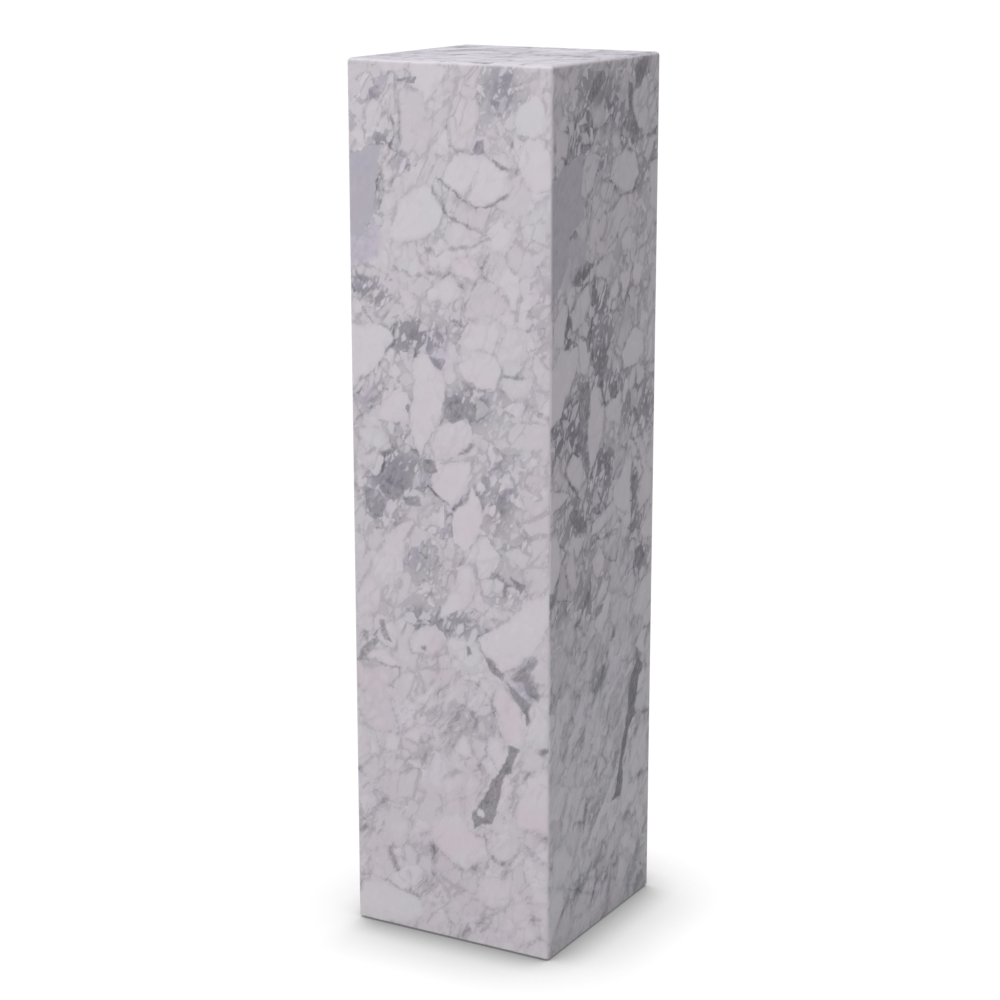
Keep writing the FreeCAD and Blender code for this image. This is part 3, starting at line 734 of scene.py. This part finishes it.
# Tints of the marble, multiplied over its greys.
ROSE = (1.0, 0.935, 0.955)
GREENISH = (0.958, 1.0, 0.984)
VIOLET = (0.942, 0.930, 1.0)
BLUE_GREY = (0.955, 0.962, 1.0)
LEAN = math.radians(26.8)  # of the stones, from the vertical
DRAWN_LEAN = math.radians(38)  # of the streaks near the foot
PALE = 0.89  # the tone that a slab's contrast is stretched from


def breccia_marble():
    """Honed breccia: pale stones in grey-violet paste. The slab's fields place what can be seen
    from a few steps away; the nodes add broken edges, crumbs, hair veins and clouding."""
    r = Recipe("honed_breccia")
    plus, minus, times, centred = r.plus, r.minus, r.times, r.centred
    place = r.field("block", vector=True)
    turned = r.node("Mapping", {"vector_type": "TEXTURE"})
    r.put(turned.inputs["Vector"], place)
    turned.inputs["Rotation"].default_value = (0, 0, LEAN)
    turned.inputs["Scale"].default_value = (1.0, 1.9, 1.0)
    leaning = turned.outputs[0]
    stone, dark, grey, lilac = (r.field(name) for name in ("stone", "dark", "grey", "lilac"))
    white, warmth, paste = r.field("white"), r.field("warmth"), r.field("paste")
    dark_tone, violet, vein = r.field("dark_tone"), r.field("violet"), r.field("vein")
    flow, colourful, gain = r.field("flow"), r.field("colourful"), r.field("gain")

    coarse = centred(r.noise(leaning, 70, 5, 0.62))
    fine = centred(r.noise(leaning, 240, 3, 0.6))
    ragged = plus(times(coarse, 13.0), times(fine, 5.0))
    in_stone = r.between(plus(stone, ragged), r.lerp(flow, -1.6, -5.0), r.lerp(flow, 2.4, 6.0))
    in_dark = r.between(plus(dark, ragged), -2.4, 0.6)
    in_grey = r.between(plus(grey, ragged), -1.5, 2.0)
    in_lilac = r.between(plus(lilac, ragged), -5.0, 5.0)

    # the paste: clouded, with crumbs of two sizes, some of them nearly as pale as the stones
    stirred = r.shifted(leaning, 0.010, 95, 4)
    big, big_number, big_other = r.crumbs(stirred, 95, 0.02, 0.26)
    small, small_number, small_other = r.crumbs(stirred, 190, 0.02, 0.30)
    cloud = centred(r.noise(leaning, 45, 5, 0.62, 0.5))
    depth = plus(paste, times(cloud, plus(0.35, times(paste, 0.6))))
    paste_tone = minus(0.79, times(depth, 0.60))
    pale_small = times(small, r.between(small_other, 0.44, 0.54))
    small_tone = minus(r.lerp(small_number, 0.60, 1.02), times(paste, 0.10))
    crumbled = r.lerp(pale_small, paste_tone, small_tone)
    pale_big = times(big, r.between(big_other, 0.46, 0.56))
    crumbled = r.lerp(pale_big, crumbled, r.lerp(big_number, 0.70, 1.02))

    # where the stone flowed before it set, the paste is drawn out into soft streaks
    drawn = r.node("Mapping", {"vector_type": "TEXTURE"})
    r.put(drawn.inputs["Vector"], r.shifted(place, 0.012, 30, 3))
    drawn.inputs["Rotation"].default_value = (0, 0, DRAWN_LEAN)
    drawn.inputs["Scale"].default_value = (1.0, 2.6, 1.0)
    streak = plus(times(centred(r.noise(drawn.outputs[0], 78, 5, 0.62, 0.4)), 1.3),
                  times(centred(r.noise(drawn.outputs[0], 28, 4, 0.6, 0.5)), 2.0))
    wisp = r.absolute(centred(r.noise(drawn.outputs[0], 46, 4, 0.6, 0.6)))
    drawn_tone = plus(minus(0.95, times(depth, 0.45)), streak)
    drawn_tone = minus(drawn_tone, r.between(wisp, 0.0, 0.06, 0.20, 0.0))
    drawn_tone = r.math("MINIMUM", drawn_tone, 1.03)
    crumbled = r.lerp(times(flow, 0.85), crumbled, drawn_tone)

    # stones: each has its own whiteness, is clouded inside and crossed by soft veins
    mottle = centred(r.noise(place, 60, 6, 0.65, 0.5))
    stone_tone = plus(minus(white, times(r.between(stone, 0.0, 9.0, 1.0, 0.0), 0.06)),
                      times(mottle, 0.26))
    shard = r.crumbs(r.shifted(leaning, 0.020, 55, 4), 52, 0.0, 0.13)[0]
    net = times(minus(1.0, shard), r.between(r.noise(leaning, 24, 3), 0.36, 0.64))
    stone_tone = minus(stone_tone, times(net, r.between(white, 0.9, 1.0, 0.26, 0.06)))

    value = r.lerp(in_stone, crumbled, stone_tone)
    breadth = r.between(r.noise(place, 48, 4, 0.6), 0.36, 0.66, 1.3, 6.5)
    broken = r.between(r.noise(leaning, 120, 4, 0.65), 0.38, 0.60, 0.35, 1.0)
    rim = r.absolute(plus(plus(stone, ragged), 0.8))
    edge = r.between(rim, 0.0, breadth, 1.0, 0.0)
    edge = times(times(edge, broken), r.between(r.noise(place, 26, 3), 0.36, 0.62, 0.15, 1.0))
    value = minus(value, times(edge, plus(0.20, times(paste, 0.22))))
    line = r.absolute(plus(r.field("vein_side"), ragged))
    line = r.between(line, 0.0, breadth, 1.0, 0.0)
    value = minus(value, times(times(vein, line), times(broken, 0.90)))
    value = r.lerp(in_grey, value, plus(plus(0.60, times(mottle, 0.14)), times(fine, 0.05)))
    value = r.lerp(times(in_lilac, 0.75), value, plus(0.68, times(mottle, 0.22)))
    deep = plus(minus(0.74, times(dark_tone, 0.59)), times(plus(fine, coarse), 0.85))
    value = r.lerp(in_dark, value, deep)
    value = plus(value, times(centred(r.noise(leaning, 170, 4, 0.7)), 0.28))
    value = plus(value, times(centred(r.noise(leaning, 100, 4, 0.6, 0.8)), 0.20))
    value = plus(PALE, times(minus(value, PALE), gain))
    value = plus(value, times(times(flow, r.field("flush")), 0.07))
    value = plus(value, times(r.field("rubbed"), 0.60))  # a painted highlight makes the arrises paler

    tones = ((-0.25, (0.180, 0.171, 0.186)), (0.00, (0.250, 0.238, 0.257)),
             (0.28, (0.390, 0.371, 0.397)), (0.55, (0.565, 0.535, 0.571)),
             (0.80, (0.698, 0.657, 0.698)), (1.00, (0.762, 0.722, 0.755)),
             (1.25, (0.860, 0.818, 0.850)))
    darkest, palest = tones[0][0], tones[-1][0]
    colour = r.ramp(r.math("DIVIDE", plus(value, -darkest), palest - darkest),
                    [((tone - darkest) / (palest - darkest), paint) for tone, paint in tones])
    warm = plus(times(warmth, in_stone), times(centred(r.noise(place, 22, 4)), 3.2))
    warm = times(colourful, plus(warm, times(flow, r.field("flush"))))
    colour = r.tinted(r.between(warm, 0.0, 1.5), colour, ROSE)
    colour = r.tinted(r.between(warm, -1.3, 0.0, 1.0, 0.0), colour, GREENISH)
    bluish = r.between(plus(paste, times(centred(r.noise(leaning, 30, 4)), 2.4)), 0.3, 1.1)
    bluish = times(bluish, minus(1.0, in_stone))
    cool = r.larger(r.larger(violet, bluish), in_lilac)
    cloudy = r.between(r.noise(place, 14, 3), 0.3, 0.55, 0.3, 1.0)
    cool = r.larger(cool, times(r.field("cast"), cloudy))
    colour = r.tinted(times(colourful, cool), colour, VIOLET)
    colour = r.tinted(times(colourful, in_grey), colour, BLUE_GREY)
    r.shader.inputs["Specular IOR Level"].default_value = 0.2
    return r.surface(colour, r.between(value, 0.1, 0.9, 0.44, 0.36),
                     plus(in_stone, times(fine, 0.6)), 0.10, 0.0003)


def sawn_pine(name, along):
    """Sawn softwood: growth rings round the heart of the log, drawn out along the piece, with
    fibre streaks, a few resin flecks and a rough-sawn surface. along is the axis of the grain."""
    r = Recipe(name)
    coords = r.node("TexCoord").outputs["Object"]
    heart = r.node("Mapping", Vector=r.shifted(coords, 0.006, 5, 2))
    heart.inputs["Location"].default_value = (0.021, 0.034, 0.027)
    slow = {"X": (0.06, 1, 1), "Y": (1, 0.06, 1), "Z": (1, 1, 0.06)}[along]
    heart.inputs["Scale"].default_value = slow
    rings = r.node("TexWave",
                   {"wave_type": "RINGS", "rings_direction": along, "wave_profile": "SAW"},
                   Vector=heart.outputs[0], Scale=48.0, Distortion=1.4, Detail=3.0,
                   Detail_Scale=1.5)
    fibre = r.noise(heart.outputs[0], 700, 3, 0.7)
    late = r.math("POWER", rings.outputs["Fac"], 2.5)
    wood = r.ramp(late, ((0.0, (0.72, 0.53, 0.32)), (0.6, (0.62, 0.41, 0.22)),
                         (1.0, (0.43, 0.25, 0.12))))
    wood = r.tinted(r.between(fibre, 0.35, 0.7, 0.0, 0.55), wood, (0.80, 0.70, 0.58))
    flecks = r.between(r.noise(heart.outputs[0], 260, 2, 0.5), 0.70, 0.76, 0.0, 0.6)
    return r.surface(r.blend(flecks, wood, (0.30, 0.16, 0.07, 1.0)),
                     r.between(fibre, 0.3, 0.7, 0.60, 0.78),
                     r.plus(fibre, r.times(late, 0.4)), 0.45, 0.0004)


def birch_ply(name, through):
    """Birch plywood: on the faces a pale veneer with short pores along the grain, on the edges
    1.4 mm layers, every second one end grain. through is the axis across the sheet."""
    r = Recipe(name)
    coords = r.node("TexCoord").outputs["Object"]
    parts = r.node("SeparateXYZ", Vector=coords)
    faces = r.node("SeparateXYZ", Vector=r.node("NewGeometry").outputs["Normal"])
    on_face = r.between(r.absolute(faces.outputs[through]), 0.6, 0.8)
    drawn = r.node("Mapping", Vector=r.shifted(coords, 0.01, 4, 2))
    drawn.inputs["Scale"].default_value = (1, 1, 0.05) if through == "X" else (0.05, 1, 1)
    figure = r.noise(drawn.outputs[0], 60, 5, 0.6, 0.6)
    pores = r.between(r.noise(drawn.outputs[0], 900, 2, 0.6), 0.58, 0.68)
    veneer = r.ramp(figure, ((0.3, (0.70, 0.55, 0.37)), (0.5, (0.77, 0.63, 0.45)),
                             (0.7, (0.82, 0.70, 0.53))))
    veneer = r.blend(r.times(pores, 0.35), veneer, (0.47, 0.33, 0.20, 1.0))
    layer = r.math("FRACT", r.times(parts.outputs[through], 1000 / 2.8))
    from_middle = r.absolute(r.minus(layer, 0.5))
    end_grain = r.between(from_middle, 0.23, 0.27)
    glue = r.between(r.absolute(r.minus(from_middle, 0.25)), 0.0, 0.05, 0.8, 0.0)
    edge = r.blend(end_grain, (0.74, 0.58, 0.39, 1.0), (0.52, 0.36, 0.21, 1.0))
    edge = r.blend(glue, edge, (0.22, 0.13, 0.08, 1.0))
    sawn = r.between(r.noise(coords, 900, 2, 0.7), 0.4, 0.7, 0.0, 0.4)
    edge = r.blend(sawn, edge, (0.55, 0.42, 0.28, 1.0))
    return r.surface(r.blend(on_face, edge, veneer), r.lerp(on_face, 0.72, 0.55),
                     r.minus(figure, pores), 0.3, 0.0003)


def zinc_plate():
    """Bright zinc plating: crystal clouding, faint yellow and blue passivation, dull spots."""
    r = Recipe("zinc_plated_steel")
    coords = r.node("TexCoord").outputs["Object"]
    clouds = r.noise(coords, 260, 4, 0.6)
    tint = r.noise(coords, 60, 3, 0.5, 1.0)
    metal = r.ramp(tint, ((0.35, (0.60, 0.64, 0.70)), (0.50, (0.66, 0.67, 0.68)),
                          (0.65, (0.70, 0.67, 0.58))))
    metal = r.tinted(r.between(clouds, 0.35, 0.65, 0.0, 0.5), metal, (0.82, 0.82, 0.84))
    r.shader.inputs["Metallic"].default_value = 1.0
    return r.surface(metal, r.between(clouds, 0.3, 0.7, 0.26, 0.42),
                     r.noise(coords, 900, 3, 0.6), 0.1, 0.0002)


def turned_steel():
    """Turned bright steel: fine tool rings across the axis, with a slight brown film of oil."""
    r = Recipe("bright_steel")
    coords = r.node("TexCoord").outputs["Object"]
    height = r.node("SeparateXYZ", Vector=coords).outputs["Z"]
    ring = r.math("SINE", r.times(height, 2 * math.pi / 0.00035))
    film = r.noise(coords, 180, 4, 0.6)
    metal = r.ramp(film, ((0.35, (0.50, 0.48, 0.45)), (0.6, (0.60, 0.60, 0.61))))
    r.shader.inputs["Metallic"].default_value = 1.0
    return r.surface(metal, r.between(film, 0.3, 0.7, 0.36, 0.24), ring, 0.12, 0.0001)


def moulded_nylon():
    """Black moulded nylon: a fine spark-eroded texture, with pale scuffs underneath."""
    r = Recipe("nylon")
    coords = r.node("TexCoord").outputs["Object"]
    spark = r.noise(coords, 1600, 3, 0.7)
    scuffs = r.noise(r.shifted(coords, 0.004, 300, 3), 300, 5, 0.75)
    shade = r.ramp(spark, ((0.3, (0.016, 0.016, 0.018)), (0.7, (0.034, 0.034, 0.037))))
    shade = r.blend(r.between(scuffs, 0.60, 0.72, 0.0, 0.5), shade, (0.12, 0.12, 0.12, 1.0))
    return r.surface(shade, r.between(spark, 0.3, 0.7, 0.42, 0.60), spark, 0.25, 0.0002)


# ================================================================ the object
marble = breccia_marble()
quarter = math.pi / 2
upward = steps(FOOT, HEIGHT, PITCH, False, True)
upward = np.concatenate([[FOOT, FOOT + FOOT_BEVEL], upward[1:]])
sideways = steps(-HALF, HALF, PITCH, True, True)
# Slab, rows of its grid, turn about +Z, layout, seed, ripple in mm, mirrored, number of the slice.
SLABS = (
    ("slab_front", upward, 0.0, FRONT_LAYOUT, 11, 0.0, False, 0),
    ("slab_right", upward, quarter, RIGHT_LAYOUT, 23, 0.0, False, 1),
    ("slab_back", upward, 2 * quarter, RIGHT_LAYOUT, 37, 14.0, True, 2),
    ("slab_left", upward, 3 * quarter, FRONT_LAYOUT, 53, 14.0, True, 3),
    ("slab_top", sideways, 0.0, TOP_LAYOUT, 71, 10.0, False, 4),
)
for node, rows, turn, layout, seed, ripple, mirrored, slice_number in SLABS:
    piece = slab_piece(node.replace("slab", "marble"), sideways, rows, turn, layout, seed, ripple,
                       mirrored, slice_number, node == "slab_top")
    piece.data.materials.append(marble)
    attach(piece, "column")
    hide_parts(node)

# ---------------------------------------------------------------- finishes of what the frame gives
cleat_x, cleat_y = sawn_pine("softwood_lying_x", "X"), sawn_pine("softwood_lying_y", "Y")
zinc = zinc_plate()
finishes = {
    "corner_post": sawn_pine("softwood_upright", "Z"),
    "base_cleat_front": cleat_x,
    "base_cleat_back": cleat_x,
    "base_cleat_left": cleat_y,
    "base_cleat_right": cleat_y,
    "backer_board": birch_ply("birch_plywood_upright", "Y"),
    "rib_board": birch_ply("birch_plywood_lying", "Z"),
    "base_board": birch_ply("birch_plywood_base", "Z"),
    "base_screws": zinc,
    "threaded_insert": zinc,
    "leveller_stud": turned_steel(),
    "leveller_pad": moulded_nylon(),
}
for name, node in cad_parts.items():
    finish = [finishes[start] for start in finishes if name.startswith(start)]
    if finish:
        node.data.materials.clear()
        node.data.materials.append(finish[0])


# ================================================================ studio
def background_rays(tree):
    """1 for a ray that shows the background: from the camera, off gloss, or through glass."""
    path = tree.nodes.new("ShaderNodeLightPath")
    shown = path.outputs["Is Camera Ray"]
    for other in ("Is Glossy Ray", "Is Transmission Ray"):
        either = tree.nodes.new("ShaderNodeMath")
        either.operation = "MAXIMUM"
        tree.links.new(shown, either.inputs[0])
        tree.links.new(path.outputs[other], either.inputs[1])
        shown = either.outputs[0]
    return shown


FLOOR_SHADE_REACHES = (0.045, 0.125)
DEEPEST_FLOOR_SHADE = 0.16
FLOOR_GREY = (0.72, 0.72, 0.72, 1)  # what the floor throws back onto the column
AMBIENT = (0.378, 0.378, 0.392, 1)  # the world's light, where the background isn't seen


def studio_floor():
    """A floor that shows white, but for a painted shade close to what stands on it."""
    bpy.ops.mesh.primitive_plane_add(size=60, location=(0, 0, 0))
    floor = bpy.context.object
    floor.name = "studio_floor"
    r = Recipe("studio_floor")
    r.tree.nodes.remove(r.shader)
    close, wide = (r.node("AmbientOcclusion", {"samples": 12}, Distance=reach).outputs["AO"]
                   for reach in FLOOR_SHADE_REACHES)
    across = r.node("SeparateXYZ", Vector=r.node("TexCoord").outputs["Object"]).outputs["X"]
    lit_side = r.between(across, -HALF - 0.02, -HALF + 0.03, 0.45, 1.0)  # painted shade, made lighter by place on the key light's side
    # the shade is painted into the floor's glow from ambient occlusion, not cast by the lamps
    shade = r.times(r.math("POWER", close, 0.65), r.math("POWER", wide, 0.85))
    shade = r.larger(r.math("POWER", shade, lit_side), DEEPEST_FLOOR_SHADE)
    white = r.node("Emission", Strength=r.times(shade, 1.03))
    matt = r.node("BsdfDiffuse", Color=FLOOR_GREY)
    shown = r.node("MixShader", Fac=background_rays(r.tree))
    r.put(shown.inputs[1], matt.outputs[0])
    r.put(shown.inputs[2], white.outputs[0])
    r.tree.links.new(shown.outputs[0], r.tree.nodes["Material Output"].inputs["Surface"])
    floor.data.materials.append(r.material)


def soft_light(name, place, aim, size, power):
    data = bpy.data.lights.new(name, "AREA")
    data.shape = "RECTANGLE"
    data.size, data.size_y = size
    data.energy = power
    lamp = bpy.data.objects.new(name, data)
    lamp.location = place
    x, y, z = np.array(aim) - np.array(place)
    lamp.rotation_euler = (math.atan2(math.hypot(x, y), -z), 0, math.atan2(-x, y))
    bpy.context.scene.collection.objects.link(lamp)


def studio_world():
    world = bpy.data.worlds.new("studio")
    bpy.context.scene.world = world
    world.use_nodes = True
    tree = world.node_tree
    tree.nodes.clear()
    back = tree.nodes.new("ShaderNodeBackground")
    mix = tree.nodes.new("ShaderNodeMix")
    mix.data_type = "RGBA"
    mix.inputs[6].default_value = AMBIENT
    mix.inputs[7].default_value = (1, 1, 1, 1)
    tree.links.new(background_rays(tree), mix.inputs["Factor"])
    tree.links.new(mix.outputs[2], back.inputs["Color"])
    out = tree.nodes.new("ShaderNodeOutputWorld")
    tree.links.new(back.outputs[0], out.inputs["Surface"])


def photo_camera():
    """The photo's camera, fitted to the column's corners and edges."""
    data = bpy.data.cameras.new("camera")
    data.sensor_width = 36.0
    data.lens = 88.70
    camera = bpy.data.objects.new("camera", data)
    camera.location = (1.3504, -2.3907, 1.1870)
    camera.rotation_euler = (math.radians(90 - 14.15), 0, math.radians(29.60))
    bpy.context.scene.collection.objects.link(camera)
    bpy.context.scene.camera = camera


studio_floor()
studio_world()
soft_light("key", (-0.55, -3.0, 2.4), (0, 0, 0.5), (1.6, 1.6), 45.5)
soft_light("overhead", (-0.2, 0.2, 3.2), (0, 0, 0.5), (2.0, 2.0), 17)
photo_camera()
bpy.context.scene.view_settings.view_transform = "Standard"
